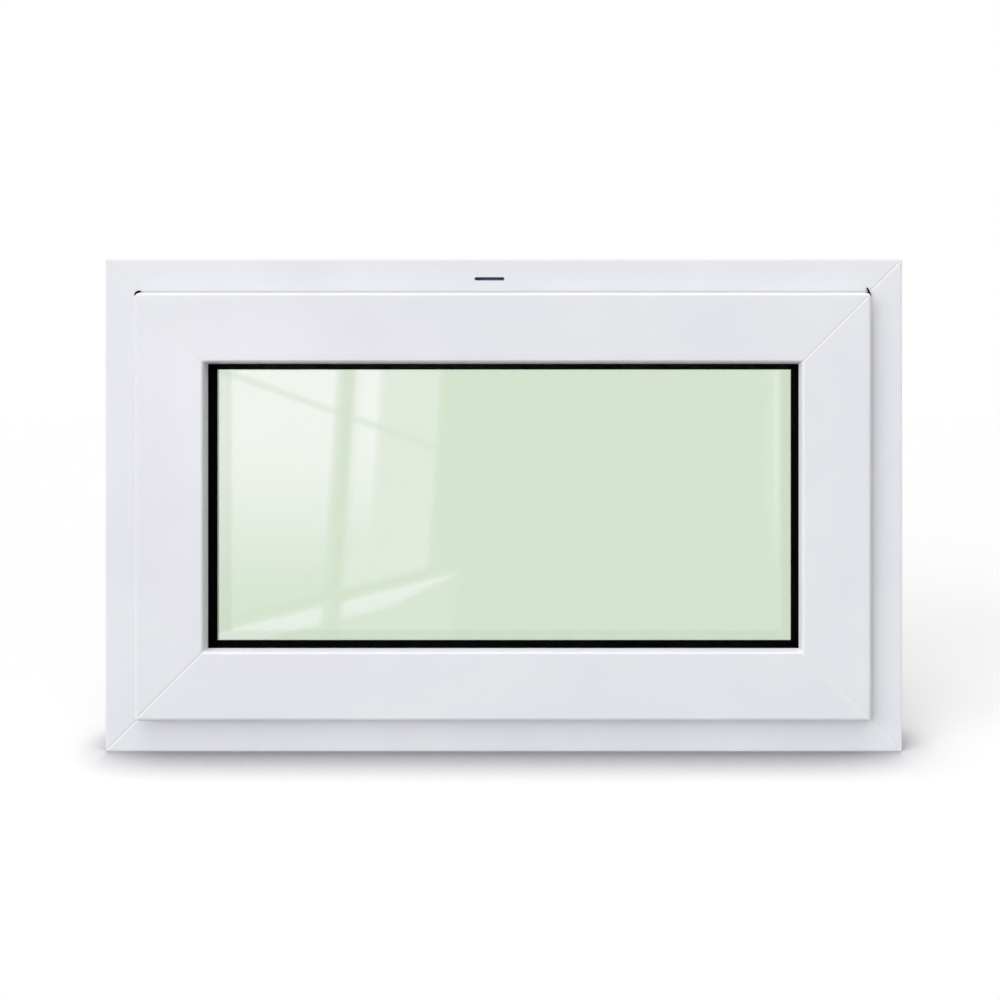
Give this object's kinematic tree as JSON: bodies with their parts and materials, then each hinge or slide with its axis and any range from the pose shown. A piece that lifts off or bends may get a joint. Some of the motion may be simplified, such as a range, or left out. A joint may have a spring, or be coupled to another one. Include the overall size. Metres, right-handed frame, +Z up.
{
  "type": "awning window",
  "caption": "Top-hung awning window in white plastic, closed: mitred outer frame, outward-opening sash over it, double glazing in black gaskets, handle on the room side.",
  "frame": {"origin": "middle of the underside of the outer frame, at mid width and mid depth of the frame", "axes": "+Z up, -Y outdoors (the face in the picture), +Y to the room, X along the width"},
  "size_m": [0.89, 0.1128, 0.55],
  "materials": {
    "black_rubber": "matte",
    "edge_sealant": "matte",
    "glass": "polished",
    "handle_white": "satin",
    "setting_block": "matte",
    "spacer_metal": "satin",
    "steel": "satin",
    "white_plastic": "satin"
  },
  "bodies": {
    "root": {"edge_sealant": "edge_sealant", "frame_head": "white_plastic", "frame_left_jamb": "white_plastic", "frame_right_jamb": "white_plastic", "frame_sill": "white_plastic", "frame_stiffener_bottom": "steel", "frame_stiffener_left": "steel", "frame_stiffener_right": "steel", "frame_stiffener_top": "steel", "glass_spacer": "spacer_metal", "glazing_bead_bottom": "white_plastic", "glazing_bead_left": "white_plastic", "glazing_bead_right": "white_plastic", "glazing_bead_top": "white_plastic", "handle_lever": "handle_white", "handle_rose": "handle_white", "inner_glass_gasket_bottom": "black_rubber", "inner_glass_gasket_left": "black_rubber", "inner_glass_gasket_right": "black_rubber", "inner_glass_gasket_top": "black_rubber", "inner_pane": "glass", "inner_weather_seal": "black_rubber", "keep_left": "steel", "keep_right": "steel", "lock_rail": "steel", "outer_glass_gasket": "black_rubber", "outer_pane": "glass", "outer_weather_seal": "black_rubber", "sash_bottom_rail": "white_plastic", "sash_left_stile": "white_plastic", "sash_right_stile": "white_plastic", "sash_stiffener_bottom": "steel", "sash_stiffener_left": "steel", "sash_stiffener_right": "steel", "sash_stiffener_top": "steel", "sash_top_rail": "white_plastic", "setting_block_left": "setting_block", "setting_block_right": "setting_block", "stay_bar_left": "steel", "stay_bar_right": "steel", "stay_long_arm_left": "steel", "stay_long_arm_right": "steel", "stay_short_arm_left": "steel", "stay_short_arm_right": "steel", "stay_slider_left": "steel", "stay_slider_right": "steel", "stay_track_left": "steel", "stay_track_right": "steel"}
  },
  "joints": []
}
